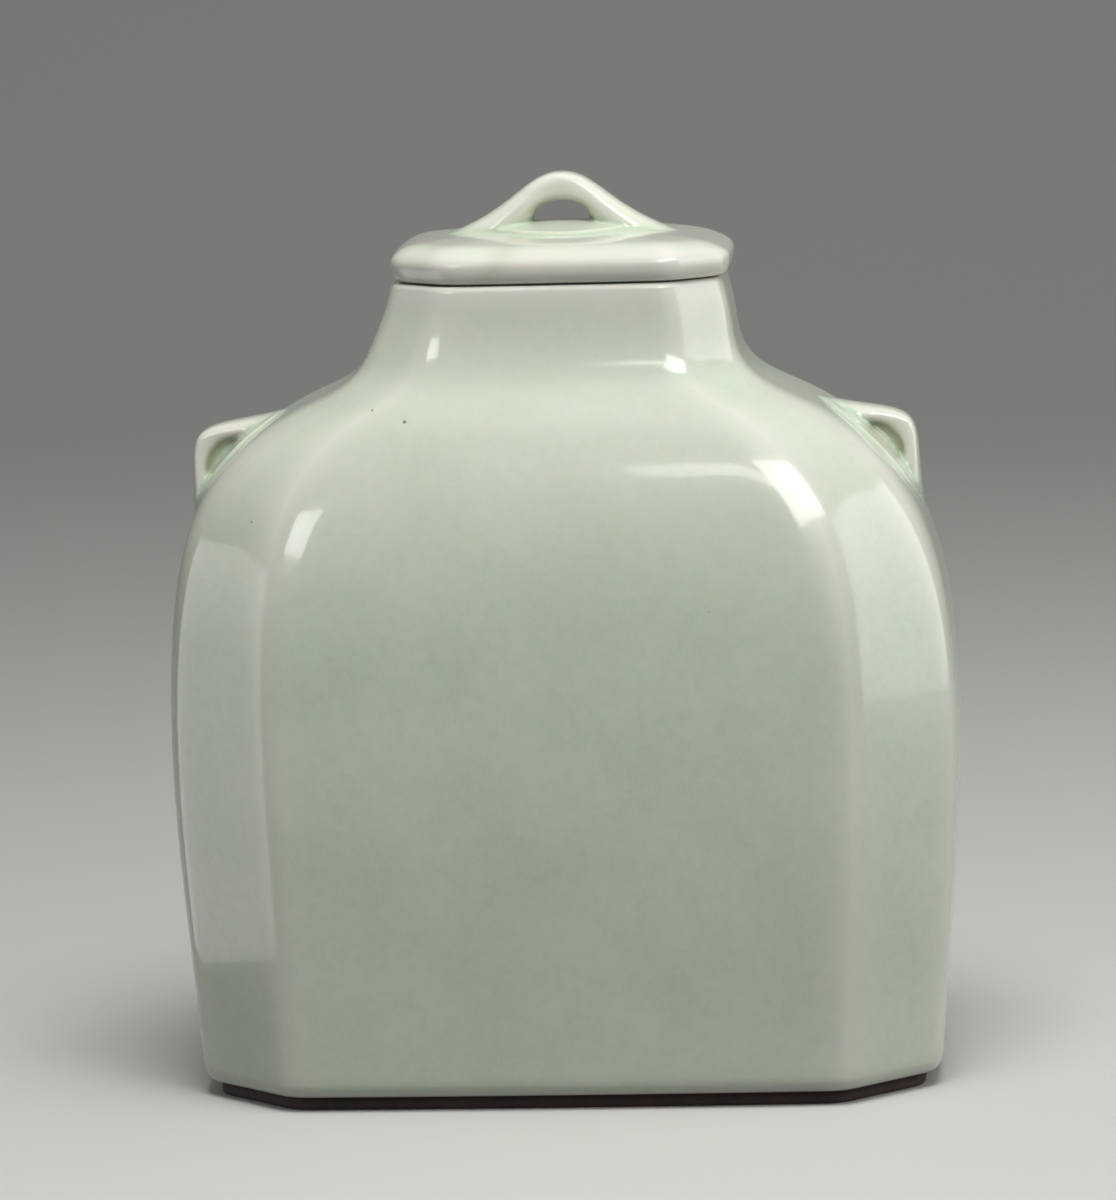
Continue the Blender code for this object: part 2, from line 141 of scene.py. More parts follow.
def eased(share):
    """A share from 0 to 1 that starts and ends softly."""
    return share * share * (3 - 2 * share)


def band(values, middle, spread):
    """A soft band: 1 at its middle, and falling off over its spread."""
    return np.exp(-(((values - middle) / spread) ** 2))


# Outlines

def section(half_width, half_depth, cant, corner, height):
    """One level: an octagon's half sizes, its corner cut, its corner radius and its height."""
    return np.array((half_width, half_depth, cant, corner, height), float)


def inset(level, distance, height):
    """The same octagon drawn in by a distance, at another height."""
    moved = level.copy()
    moved[WIDE] -= distance
    moved[DEEP] -= distance
    moved[CANT] -= distance * CANT_SHARE
    moved[CORNER] = max(level[CORNER] - distance / 2, level[CORNER] / 2)
    moved[HIGH] = height
    return moved


def curve(start, leave, arrive, stop, steps):
    """Levels along a cubic curve through its four control levels, and the direction at each."""
    levels, ways = [], []
    for t in np.linspace(0, 1, steps + 1):
        s = 1 - t
        levels.append(s**3 * start + 3 * s * s * t * leave + 3 * s * t * t * arrive + t**3 * stop)
        ways.append(s * s * (leave - start) + 2 * s * t * (arrive - leave) + t * t * (stop - arrive))
    return levels, ways


def between(first, last, steps):
    """Levels between two, without the first."""
    return [first + (last - first) * k / steps for k in range(1, steps + 1)]


def rounded(level, width, height, steps=ROUND_STEPS, sweep=90.0):
    """Levels of a quarter round that starts at a level. It turns inwards, or outwards for a negative width,
    and up, or down for a negative height."""
    levels = []
    for step in range(1, steps + 1):
        angle = math.radians(sweep) * step / steps
        levels.append(inset(level, width * (1 - math.cos(angle)), level[HIGH] + height * math.sin(angle)))
    return levels


def to_centre(level, steps, rise=0.0):
    """Levels that shrink to nothing, for a floor or a flat roof, or for a dome that rises."""
    levels = []
    for share in np.linspace(1, 0, steps + 1)[1:]:
        shrunk = level * share
        shrunk[HIGH] = level[HIGH] + rise * (1 - share**2)
        levels.append(shrunk)
    return levels


def level_at(levels, height):
    """The level at a height, between the two of a rising list that lie below and above it."""
    for low, high in zip(levels, levels[1:]):
        if low[HIGH] <= height <= high[HIGH]:
            return low + (high - low) * (height - low[HIGH]) / (high[HIGH] - low[HIGH])
    raise ValueError("no level at that height")


def outline(level):
    """The points of one level, and how far each one is from the middle of its nearest ridge."""
    half_width, half_depth, cant, corner, height = level
    flat_width = max(half_width, TINY) / (1 + FACE_CROWN)
    flat_depth = max(half_depth, TINY) / (1 + FACE_CROWN)
    side, broad = flat_depth - cant, flat_width - cant
    corners = ((flat_width, side), (broad, flat_depth), (-broad, flat_depth), (-flat_width, side),
               (-flat_width, -side), (-broad, -flat_depth), (broad, -flat_depth), (flat_width, -side))
    steps_after = (CANT_STEPS, BROAD_STEPS, CANT_STEPS, SIDE_STEPS) * 2
    eighth = math.pi / 4
    arcs, middles = [], []
    for number, (x, y) in enumerate(corners):
        middle = (number + 0.5) * eighth
        reach = corner / math.cos(eighth / 2)
        centre = np.array((x - reach * math.cos(middle), y - reach * math.sin(middle)))
        turn = (number + np.arange(CORNER_STEPS + 1) / CORNER_STEPS) * eighth
        arcs.append(centre + corner * np.column_stack((np.cos(turn), np.sin(turn))))
        middles.append(arcs[-1][CORNER_STEPS // 2])
    points = []
    for number, arc in enumerate(arcs):
        points.append(arc)
        share = np.arange(1, steps_after[number])[:, None] / steps_after[number]
        points.append(arc[-1] + (arcs[(number + 1) % 8][0] - arc[-1]) * share)
    points = np.vstack(points)
    ridge = np.min([np.hypot(*(points - middle).T) for middle in middles], axis=0)
    wider = 1 + FACE_CROWN * (1 - (points[:, 1] / flat_depth) ** 2)
    deeper = 1 + FACE_CROWN * (1 - (points[:, 0] / flat_width) ** 2)
    crowned = np.column_stack((points[:, 0] * wider, points[:, 1] * deeper, np.full(len(points), height)))
    return crowned, ridge


def draw(levels):
    """The points of all levels, one row for each, and how far each point is from its nearest ridge."""
    drawn = [outline(level) for level in levels]
    return np.array([points for points, ridge in drawn]), np.array([ridge for points, ridge in drawn])


def lean_at(height):
    """How far the hand-pressed shoulder and mouth have leant over at a height."""
    mouth = MOUTH_LEAN * eased(ramp(height, MOUTH_LEAN_START, MOUTH_LEAN_END))
    return LEAN * band(height, LEAN_HEIGHT, LEAN_SPREAD) + mouth


def waviness(points):
    """Slow waves of a tenth of a millimetre and less, as in faces pressed and scraped by hand."""
    waves = [strength * np.sin(points @ np.array(way) + start) for strength, way, start in WAVES]
    return WAVE_DEPTH * sum(waves)


# Skins

SKIN_PASSES = 3


def wrap(rows, marks=None):
    """A closed skin: a grid is laid on the rows of points, each row once round, and its seams are merged."""
    rows = np.asarray(rows)
    high, around = rows.shape[:2]
    skin = bmesh.new()
    bmesh.ops.create_grid(skin, x_segments=around, y_segments=high - 1, size=1)
    layers = {name: skin.verts.layers.float.new(name) for name in marks or {}}
    for vert in skin.verts:
        column = round((vert.co.x + 1) / 2 * around) % around
        row = round((vert.co.y + 1) / 2 * (high - 1))
        vert.co = rows[row, column]
        for name, layer in layers.items():
            vert[layer] = marks[name][row, column]
    bmesh.ops.remove_doubles(skin, verts=skin.verts, dist=MERGE)
    bmesh.ops.recalc_face_normals(skin, faces=skin.faces)
    return skin


def soften(skin, passes):
    """Let the glaze round everything off a little."""
    for _ in range(passes):
        bmesh.ops.smooth_vert(skin, verts=skin.verts, factor=0.5,
                              use_axis_x=True, use_axis_y=True, use_axis_z=True)


def piece(name, skin, finish, slot, body, *nodes):
    """An object from a finished skin, standing for the solids of its body."""
    data = bpy.data.meshes.new(name)
    skin.to_mesh(data)
    skin.free()
    data.shade_smooth()
    data.materials.append(finish)
    thing = bpy.data.objects.new(name, data)
    bpy.context.scene.collection.objects.link(thing)
    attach(thing, body)
    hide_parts(*nodes)


# Materials

# The Mix node's colour sockets share their names with others, so they go by number
MIX_SHARE, MIX_UNDER, MIX_OVER, MIX_RESULT = 0, 6, 7, 2
# The range of a pattern that is a share already
WHOLE = (0.0, 1.0)
# Brown iron specks that burnt through the glaze: place and radius in metres
IRON_SPECKS = (
    ((-0.0350, -0.0420, 0.1660), 0.00070),
    ((-0.0430, -0.0390, 0.1690), 0.00055),
    ((-0.0720, -0.0440, 0.1430), 0.00050),
    ((0.0370, -0.0550, 0.1210), 0.00050),
)


def linear(hex_colour):
    """An sRGB hex colour as the linear values that a shader takes."""
    channels = [int(hex_colour[start:start + 2], 16) / 255 for start in (1, 3, 5)]
    return [c / 12.92 if c <= 0.04045 else ((c + 0.055) / 1.055) ** 2.4 for c in channels] + [1.0]


def add(tree, kind, inputs=None, **settings):
    """Add a node with its settings, and give each input a value or link it to an output."""
    node = tree.nodes.new(kind)
    for name, value in settings.items():
        setattr(node, name, value)
    for socket, source in (inputs or {}).items():
        if isinstance(source, bpy.types.NodeSocket):
            tree.links.new(source, node.inputs[socket])
        else:
            node.inputs[socket].default_value = source
    return node


def new_finish(name, values):
    """A material with plain values on its Principled shader, and the object's own coordinates in metres."""
    finish = bpy.data.materials.new(name)
    finish.use_nodes = True
    tree = finish.node_tree
    shader = tree.nodes["Principled BSDF"]
    for socket, value in values.items():
        shader.inputs[socket].default_value = value
    place = tree.nodes.new("ShaderNodeTexCoord").outputs["Object"]
    return finish, tree, shader, place


def layered(tree, base, layers):
    """A base colour with others laid over it. Each layer has its pattern, the pattern's range from where the
    layer starts to where there is most of it, how much that is, and its colour."""
    colour = linear(base)
    for pattern, (start, full), most, over in layers:
        inputs = {"Value": pattern, "From Min": start, "From Max": full, "To Min": 0.0, "To Max": most}
        share = add(tree, "ShaderNodeMapRange", inputs).outputs["Result"]
        inputs = {MIX_SHARE: share, MIX_UNDER: colour, MIX_OVER: linear(over)}
        colour = add(tree, "ShaderNodeMix", inputs, data_type='RGBA').outputs[MIX_RESULT]
    return colour


def celadon_glaze():
    """Celadon: a thick feldspathic glaze fired in reduction on porcelain. It is glossy like glass, grey-green
    where it is deep, and cream to pink where it has run thin over an edge and the body shows through."""
    finish, tree, shader, place = new_finish("celadon_glaze_on_porcelain", {
        "Roughness": 0.16, "IOR": 1.5, "Coat Weight": 0.5, "Coat Roughness": 0.03, "Coat IOR": 1.5,
        "Subsurface Weight": 0.15, "Subsurface Scale": 0.0015})
    thin = add(tree, "ShaderNodeAttribute", attribute_name="thin_glaze").outputs["Fac"]
    pool = add(tree, "ShaderNodeAttribute", attribute_name="pooled_glaze").outputs["Fac"]
    stain = add(tree, "ShaderNodeAttribute", attribute_name="iron_stain_and_painted_shade").outputs["Fac"]

    # Clouds of 25 mm, mottling of 3 mm and a fine grain of bubbles of 0.7 mm
    clouds = add(tree, "ShaderNodeTexNoise", {"Vector": place, "Scale": 40.0, "Detail": 2.0}).outputs["Fac"]
    mottle = add(tree, "ShaderNodeTexNoise", {"Vector": place, "Scale": 330.0, "Detail": 3.0}).outputs["Fac"]
    grain = {"Vector": place, "Scale": 1400.0, "Detail": 2.0}
    bubbles = add(tree, "ShaderNodeTexNoise", grain).outputs["Fac"]
    layers = [
        (clouds, (0.35, 0.65), 1.0, "#C3CDB9"),
        (mottle, (0.35, 0.75), 0.20, "#A3B199"),
        (bubbles, (0.45, 0.75), 0.30, "#CBD3C3"),
        (pool, WHOLE, 1.0, "#8DA285"),
        (thin, WHOLE, 1.0, "#D7D6CB"),
        # Brown: a real iron stain on the lid and round the handle's hole, and painted shade in the shoulder
        # loops' hollows
        (stain, WHOLE, 1.0, "#80784A"),
    ]
    for spot, radius in IRON_SPECKS:
        away = add(tree, "ShaderNodeVectorMath", {0: place, 1: spot}, operation='DISTANCE').outputs["Value"]
        layers.append((away, (radius, radius / 2), 0.9, "#6B3A22"))
    tree.links.new(layered(tree, "#BCC8B1", layers), shader.inputs["Base Color"])

    # Orange peel of 2.5 mm, a hundredth of a millimetre deep
    peel = add(tree, "ShaderNodeTexNoise", {"Vector": place, "Scale": 400.0, "Detail": 1.0}).outputs["Fac"]
    bump = add(tree, "ShaderNodeBump", {"Strength": 1.0, "Distance": 0.000012, "Height": peel})
    tree.links.new(bump.outputs["Normal"], shader.inputs["Normal"])
    tree.links.new(bump.outputs["Normal"], shader.inputs["Coat Normal"])
    return finish


def iron_biscuit_with_painted_shade():
    """Unglazed clay body whose iron the kiln burnt to a dark chocolate brown, darkened further as painted
    shade: dry, fine-grained, matt.
    """
    finish, tree, shader, place = new_finish("iron_brown_biscuit", {"Roughness": 0.82})
    # Patches of 8 mm and grit of half a millimetre
    patches = add(tree, "ShaderNodeTexNoise", {"Vector": place, "Scale": 120.0, "Detail": 3.0}).outputs["Fac"]
    grit = add(tree, "ShaderNodeTexNoise", {"Vector": place, "Scale": 1800.0, "Detail": 2.0}).outputs["Fac"]
    # These browns are darker than the clay's own, as painted shade on the foot
    layers = ((patches, (0.3, 0.7), 1.0, "#33201A"), (grit, (0.5, 0.8), 0.4, "#553A2D"))
    tree.links.new(layered(tree, "#1E110C", layers), shader.inputs["Base Color"])
    bump = add(tree, "ShaderNodeBump", {"Strength": 1.0, "Distance": 0.00006, "Height": grit})
    tree.links.new(bump.outputs["Normal"], shader.inputs["Normal"])
    return finish


def bare_porcelain():
    """Porcelain body left bare of glaze where the lid's flange goes into the neck: pale, smooth and dry."""
    finish, tree, shader, place = new_finish("bare_porcelain", {"Roughness": 0.6})
    # Patches of 7 mm and a grain of just under half a millimetre
    patches = add(tree, "ShaderNodeTexNoise", {"Vector": place, "Scale": 150.0, "Detail": 3.0}).outputs["Fac"]
    grain = add(tree, "ShaderNodeTexNoise", {"Vector": place, "Scale": 2200.0, "Detail": 2.0}).outputs["Fac"]
    layers = ((patches, (0.3, 0.7), 1.0, "#E4DCCC"),)
    tree.links.new(layered(tree, "#D8CFBE", layers), shader.inputs["Base Color"])
    bump = add(tree, "ShaderNodeBump", {"Strength": 1.0, "Distance": 0.00003, "Height": grain})
    tree.links.new(bump.outputs["Normal"], shader.inputs["Normal"])
    return finish


# The jar

# The levels where its curves start and stop
HEEL = section(0.0912, 0.0525, 0.0210, 0.0100, FOOT_HEIGHT + GAP + TURN_IN_HEIGHT)
BELLY = section(0.0963 - INSIDE_BOX, 0.0565 - INSIDE_BOX, 0.0226, 0.0140, 0.0875)
ROOT = section(0.0592, 0.0412, 0.0150, 0.0175, 0.1685)
MOUTH = section(0.0406, 0.0335, 0.0118, 0.0090, MOUTH_HEIGHT - LIP_ROUND)
# How far the curves' controls reach from them, which way they lean, and their corner cuts and radii
UPRIGHT = section(0, 0, 0, 0, 1)
SHOULDER_LIFT = 0.0440
SHOULDER_REACH = 0.0326
SHOULDER_CANT = 0.0200
SHOULDER_CORNER = 0.0320
NECK_REACH = 0.0160
NECK_CANT = 0.0134
NECK_CORNER = 0.0160
NECK_LIFT = 0.0188
SIDE_SLOPE = math.radians(23.1)
FRONT_SLOPE = math.radians(55.0)
SIDE_FLARE = math.radians(16.2)
FRONT_FLARE = math.radians(0.5)
SLOPE_DEEP = math.sin(SIDE_SLOPE) / math.tan(FRONT_SLOPE)
SLOPE = section(math.cos(SIDE_SLOPE), SLOPE_DEEP, 0, 0, -math.sin(SIDE_SLOPE))
FLARE = section(math.sin(SIDE_FLARE), math.sin(FRONT_FLARE), 0, 0, -math.cos(SIDE_FLARE))

# The skin is drawn in towards the axis by this much, give or take its waves, from just above the foot up.
# Points nearer to the axis than the last value are moved less
SKIN_DEPTH = 0.00008
EASE_START = 0.006
EASE_END = 0.026
NEAR_AXIS = 0.001
# Where the glaze is thin: on the ridges, as shares and spreads, less so towards the mouth
RIDGE_THIN = ((0.30, 0.0018), (0.30, 0.0060))
RIDGE_FADE_START = 0.150
RIDGE_FADE_END = 0.190
RIDGE_LEAST = 0.35
# And on the shoulders and neck, from where it has run down, at the lip and along the foot
SHOULDER_THIN = 0.28
SHOULDER_THIN_START = 0.115
SHOULDER_THIN_FULL = 0.150
# The lip's cream is thin glaze, and spread this far down the neck under the lid it is also painted light
# against the lid's shadow
LIP_SPREAD = 0.0064
FOOT_THIN = 0.8
FOOT_SPREAD = 0.0022
# Where it has pooled: round the neck's root
ROOT_POOL = 0.25
ROOT_POOL_HEIGHT = 0.172
ROOT_POOL_SPREAD = 0.008


def shoulder_controls():
    """The four control levels of the shoulder. The last two follow the slope at the neck's root."""
    below_root = ROOT + SLOPE * SHOULDER_REACH
    below_root[CANT], below_root[CORNER] = SHOULDER_CANT, SHOULDER_CORNER
    return BELLY, BELLY + UPRIGHT * SHOULDER_LIFT, below_root, ROOT


def jar_curves():
    """The outside's levels and directions in three stretches: lower wall, shoulder and neck."""
    above_root = ROOT - SLOPE * NECK_REACH
    above_root[CANT], above_root[CORNER] = NECK_CANT, NECK_CORNER
    below_belly = BELLY - UPRIGHT * (BELLY[HIGH] - HEEL[HIGH]) / 3
    lower = curve(HEEL, HEEL + (BELLY - HEEL) / 3, below_belly, BELLY, LOWER_STEPS)
    shoulder = curve(*shoulder_controls(), SHOULDER_STEPS)
    neck = curve(ROOT, above_root, MOUTH + FLARE * NECK_LIFT, MOUTH, NECK_STEPS)
    return lower, shoulder, neck


def inner_wall(levels, ways):
    """The outer levels moved in square to the surface by the wall's thickness."""
    moved = []
    for level, way in zip(levels, ways):
        side_length = math.hypot(way[WIDE], way[HIGH])
        front_length = math.hypot(way[DEEP], way[HIGH])
        inner = level.copy()
        inner[WIDE] -= WALL * way[HIGH] / side_length
        inner[DEEP] -= WALL * way[HIGH] / front_length
        inner[HIGH] += WALL * (way[WIDE] / side_length + way[DEEP] / front_length) / 2
        inner[CANT] -= WALL * CANT_SHARE
        inner[CORNER] -= WALL / 2
        moved.append(inner)
    return moved


def jar_levels():
    """All levels of the jar's skin, from under the middle of its base, round the outside and in to its floor,
    and the level where the glaze ends above the foot."""
    (lower, lower_ways), (shoulder, shoulder_ways), (neck, neck_ways) = jar_curves()
    outer = lower + shoulder[1:] + neck[1:]
    ways = lower_ways + shoulder_ways[1:] + neck_ways[1:]
    turn_in = rounded(lower[0], TURN_IN_WIDTH, -TURN_IN_HEIGHT)[::-1]
    edge = turn_in[0]
    well = inset(edge, FOOT_INSET + FOOT_RING_WIDTH, edge[HIGH])
    roof = inset(well, 0, RECESS_DEPTH)
    under = to_centre(roof, FLAT_STEPS)[::-1] + [roof] + between(roof, well, WELL_STEPS)
    bed = between(well, edge, WELL_STEPS)[:-1]
    lip = rounded(outer[-1], LIP_ROUND, LIP_ROUND)
    inner = inner_wall(outer, ways)
    inner_top = inner[-1].copy()
    inner_top[HIGH] = outer[-1][HIGH]
    lip_inside = rounded(inner_top, -LIP_ROUND, LIP_ROUND)[::-1]
    wall_foot = level_at(inner, RECESS_DEPTH + BASE_THICKNESS + FLOOR_FILLET)
    # Every second level is enough inside
    down = [level for level in inner[:-1] if level[HIGH] > wall_foot[HIGH]][::-1][::2] + [wall_foot]
    fillet = rounded(wall_foot, FLOOR_FILLET, -FLOOR_FILLET)
    inside = lip_inside + [inner_top] + down + fillet + to_centre(fillet[-1], FLAT_STEPS)
    return under + bed + turn_in + outer + lip + inside, edge


def make_jar(glaze):
    """The body, neck and base under one skin of glaze."""
    levels, edge = jar_levels()
    rows, ridge = draw(levels)
    heights = rows[..., 2]
    from_axis = np.linalg.norm(rows[..., :2], axis=2, keepdims=True)
    outward = rows[..., :2] / np.maximum(from_axis, NEAR_AXIS)
    depth = (SKIN_DEPTH + waviness(rows)) * ramp(heights, EASE_START, EASE_END)
    rows[..., :2] -= outward * depth[..., None]
    rows[..., 0] += lean_at(heights)
    on_ridge = sum(share * band(ridge, 0, spread) for share, spread in RIDGE_THIN)
    on_ridge *= np.maximum(ramp(heights, RIDGE_FADE_END, RIDGE_FADE_START), RIDGE_LEAST)
    on_shoulder = SHOULDER_THIN * ramp(heights, SHOULDER_THIN_START, SHOULDER_THIN_FULL)
    # Cream at the lip: thin glaze, and lower on the neck painted light where the lid's shadow falls
    at_lip = band(heights, MOUTH_HEIGHT, LIP_SPREAD)
    at_foot = FOOT_THIN * band(heights, FOOT_HEIGHT, FOOT_SPREAD)
    thin = np.clip(np.max([on_ridge + on_shoulder, at_lip, at_foot], axis=0), 0, 1)
    pool = ROOT_POOL * band(heights, ROOT_POOL_HEIGHT, ROOT_POOL_SPREAD)
    skin = wrap(rows, {"thin_glaze": thin, "pooled_glaze": pool, "iron_stain_and_painted_shade": thin * 0})
    soften(skin, SKIN_PASSES)
    surface = BVHTree.FromBMesh(skin)
    piece("glazed_jar", skin, glaze, "celadon_glaze", "jar", "jar_body", "neck_collar", "base_slab")
    return surface, edge


def make_foot(biscuit, edge):
    """The trimmed foot rim, bare of glaze."""
    outside = inset(edge, FOOT_INSET, FOOT_HEIGHT + GAP)
    well = inset(edge, FOOT_INSET + FOOT_RING_WIDTH, FOOT_HEIGHT + GAP)
    outer = [inset(outside, 0, FOOT_ROUND)]
    outer += rounded(outer[0], FOOT_ROUND, -FOOT_ROUND, FOOT_ROUND_STEPS)
    inner = [inset(well, 0, FOOT_ROUND)]
    inner += rounded(inner[0], -FOOT_ROUND, -FOOT_ROUND, FOOT_ROUND_STEPS)
    rows = draw([outside] + outer + inner[::-1] + [well, outside])[0]
    piece("foot_rim", wrap(rows), biscuit, "iron_brown_biscuit", "jar", "foot_ring")


# The lid

# The skin is lowered by this much, give or take its waves, from this height over the seat up
LID_SKIN_DEPTH = 0.00012
LID_SKIN_START = 0.002
# Where its glaze is thin: a little all over, more along the rim and the rim's ridges, and at the seat
LID_THIN = 0.45
RIM_THIN = 0.35
RIM_SPREAD = 0.0035
LID_RIDGE_THIN = 0.3
LID_RIDGE_SPREAD = 0.003
LID_RIDGE_FULL = 0.006
LID_RIDGE_END = 0.010
SEAT_THIN = 0.8
SEAT_SPREAD = 0.001
# A faint brown cloud in the glaze of the front rim, left of the middle
STAIN_PLACE = -0.0130
STAIN_SLANT = 0.6
STAIN_WIDTH = 0.0028
STAIN_SHARE = 0.16
STAIN_DEPTH = -0.015


def flange_outlines():
    """The outer and inner outline of the flange's top, with the play that it has in the neck."""
    neck, ways = jar_curves()[2]
    throat = inner_wall(neck, ways)
    hole = level_at(throat, MOUTH_HEIGHT - LIP_ROUND - FLANGE_LENGTH / 2)
    hole = inset(hole, hole[WIDE] - throat[-1][WIDE], SEAT)
    outer = inset(hole, FLANGE_PLAY, SEAT + FLANGE_SEAM)
    return outer, inset(outer, FLANGE_THICKNESS, SEAT + FLANGE_SEAM)


def make_flange(bare, outer, inner):
    """The bare ring under the lid that goes down into the neck."""
    tip = MOUTH_HEIGHT - FLANGE_LENGTH
    outer_tip = inset(outer, 0, tip + LIP_ROUND)
    inner_tip = inset(inner, 0, tip + LIP_ROUND / 2)
    ring = [outer] + between(outer, outer_tip, FLANGE_STEPS)
    ring += rounded(outer_tip, LIP_ROUND, -LIP_ROUND, TIP_STEPS)
    ring += [inset(inner, -LIP_ROUND / 2, tip), inner_tip] + between(inner_tip, inner, FLANGE_STEPS)
    rows = draw(ring + [outer])[0]
    rows[..., 0] += LID_SHIFT
    piece("lid_flange_ring", wrap(rows), bare, "bare_porcelain", "lid", "lid_flange")


def lid_levels(widest, top, flange_inner):
    """All levels of the lid's skin, from the middle of its hollow, down and out, and up to its dome's top."""
    roof = inset(flange_inner, LIP_ROUND, SEAT + LID_HOLLOW)
    hollow_wall = inset(flange_inner, 0, SEAT + LID_HOLLOW - LIP_ROUND)
    hollow_round = rounded(hollow_wall, LIP_ROUND, LIP_ROUND, HOLLOW_ROUND_STEPS)
    hollow = to_centre(roof, FLAT_STEPS)[::-1] + [roof] + hollow_round[::-1][1:]
    hollow += [hollow_wall, inset(flange_inner, 0, SEAT)]
    lower_round = rounded(widest, LOWER_ROUND_WIDTH, -LOWER_ROUND_HEIGHT)[::-1]
    underside = between(hollow[-1], lower_round[0], FLAT_STEPS)[:-1]
    upper = rounded(widest, UPPER_ROUND_WIDTH, UPPER_ROUND_HEIGHT, UPPER_ROUND_STEPS, UPPER_ROUND_SWEEP)
    dome = to_centre(upper[-1], DOME_STEPS, top - upper[-1][HIGH])
    return hollow + underside + lower_round + [widest] + upper + dome


def make_lid(glaze, flange_inner):
    """The domed cover with its rolled rim."""
    mouth = MOUTH.copy()
    mouth[CORNER] = LID_CORNER
    widest = inset(mouth, -LID_OVERHANG, SEAT + LOWER_ROUND_HEIGHT)
    top = widest[HIGH] + UPPER_ROUND_HEIGHT + DOME_RISE
    rows, ridge = draw(lid_levels(widest, top, flange_inner))
    # These heights follow each change to the rows
    heights = rows[..., 2]
    depth = LID_SKIN_DEPTH + LID_WAVES * waviness(rows)
    rows[..., 2] -= np.where(heights > SEAT + LID_SKIN_START, depth, 0)
    rows[..., 0] += LID_SHIFT
    right_end = ramp(rows[..., 0], DROOP_START, DROOP_END)
    right_end = right_end * ramp(heights, widest[HIGH], widest[HIGH] + DROOP_BAND)
    rows[..., 2] -= LID_DROOP * right_end**DROOP_POWER
    on_ridge = LID_RIDGE_THIN * band(ridge, 0, LID_RIDGE_SPREAD)
    on_ridge *= ramp(heights, SEAT + LID_RIDGE_END, SEAT + LID_RIDGE_FULL)
    on_rim = RIM_THIN * band(heights, widest[HIGH], RIM_SPREAD)
    at_seat = SEAT_THIN * band(heights, SEAT, SEAT_SPREAD)
    thin = np.clip(np.maximum(LID_THIN + on_rim + on_ridge, at_seat), 0, 1)
    across = rows[..., 0] - STAIN_PLACE - (heights - widest[HIGH]) * STAIN_SLANT
    stain = STAIN_SHARE * band(across, 0, STAIN_WIDTH) * (rows[..., 1] < STAIN_DEPTH)
    skin = wrap(rows, {"thin_glaze": thin, "pooled_glaze": thin * 0, "iron_stain_and_painted_shade": stain})
    soften(skin, SKIN_PASSES)
    surface = BVHTree.FromBMesh(skin)
    piece("glazed_lid", skin, glaze, "celadon_glaze", "lid", "lid_cover")
    return surface, top


# The loops

# The heights of a pad's edge and crown and of the strap, half the length of the strap's level top, the
# waist's place inside the pad's rim and its height over it, how far the feet run past the pad, the hole, how
# much brown lies round it, and whether glaze has closed it. That brown is iron round the handle's open hole,
# and painted shade in the shoulder loops' closed hollows
LUG = dict(edge=0.0007, crown=0.0018, height=0.0093, crest=0.0054,
           waist_inside=0.0072, waist_height=0.0013, tail=0.0066,
           hole_width=0.0108, hole_top=0.0037, iron=0.50, closed=True)
HANDLE = dict(edge=0.0008, crown=0.0020, height=0.0138, crest=0.0098,
              waist_inside=0.0054, waist_height=0.0022, tail=0.0170,
              hole_width=0.0142, hole_top=0.0069, iron=0.30, closed=False)
# The height of a shoulder pad's middle, the steps that look for it, and how high over a pad its rays start
LUG_HEIGHT = 0.1538
LUG_PLACE_STEPS = 720
RAY_HEIGHT = 0.03
# The hole's arch, as shares of half its width and of its top, and how deep it and the strap's feet reach
HOLE_CREST = 0.40
HOLE_HIP = 1.15
HOLE_HIP_TOP = 0.90
HOLE_FOOT = 0.98
HOLE_DEPTH = -0.0027
STRAP_DEPTH = -0.0013
STRAP_STEPS = 34
STRAP_SIDES = 28
# The power that squares the strap's section at its top, and what is added to it at its feet. A lower one is
# squarer
STRAP_POWER = 0.50
STRAP_POWER_GAIN = 0.55
# The glaze in a closed hole
WEB_MARGIN = 0.0012
WEB_HALF_DEPTH = 0.0043
WEB_FOOT = -0.0015
WEB_TAPER = 0.75
# Profiles, as shares of the radius and heights: the sheet of skin under a loop, and its pad's beaded edge
DISC_SIDES = 64
SHEET_PAST_FEET = 0.004
SHEET_PAST_PAD = 0.0035
SHEET = ((0, -0.0026), (0.5, -0.0026), (0.93, -0.0026), (1, -0.0015), (0.985, -0.0004), (0.9, -0.00012))
SHEET += tuple((share, -0.00005) for share in (0.8, 0.65, 0.5, 0.35, 0.2, 0))
PAD_DEPTH = -0.002
BEAD = ((1, -0.0002), (0.985, 0.0002), (0.955, 0.00015))
PAD_SHARES = np.linspace(0.93, 0, 9)
# The cell of the remesh that grows a loop together, and how often the result and its softer copy are softened
VOXEL = 0.00038
LOOP_PASSES = 6
PROUD_PASSES = 30
# Where a loop's glaze is thin, as the height over its pad's plane and as how far an edge stands proud, where
# it has pooled, and how far the brown spreads from the upper part of the hole's arch: iron on the handle,
# painted shade in the shoulder loops' hollows
LOOP_THIN = 0.45
LOOP_THIN_START = 0.0002
LOOP_THIN_FULL = 0.0014
PROUD_FULL = 0.0004
CREASE_FULL = 0.0008
CREASE_MOST = 0.35
IRON_AND_SHADE_SPREAD = 0.0013
IRON_AND_SHADE_ARCH = np.linspace(0, 0.6, 25)


def drape(surface, axis, points):
    """Points over a pad's own plane laid on the skin below: their heights are measured up from the skin."""
    down = -(axis.to_3x3() @ Vector((0, 0, 1)))
    laid = []
    for x, y, height in points:
        distance = surface.ray_cast(axis @ Vector((x, y, RAY_HEIGHT)), down)[3]
        laid.append(axis @ Vector((x, y, height + RAY_HEIGHT - distance)))
    return laid


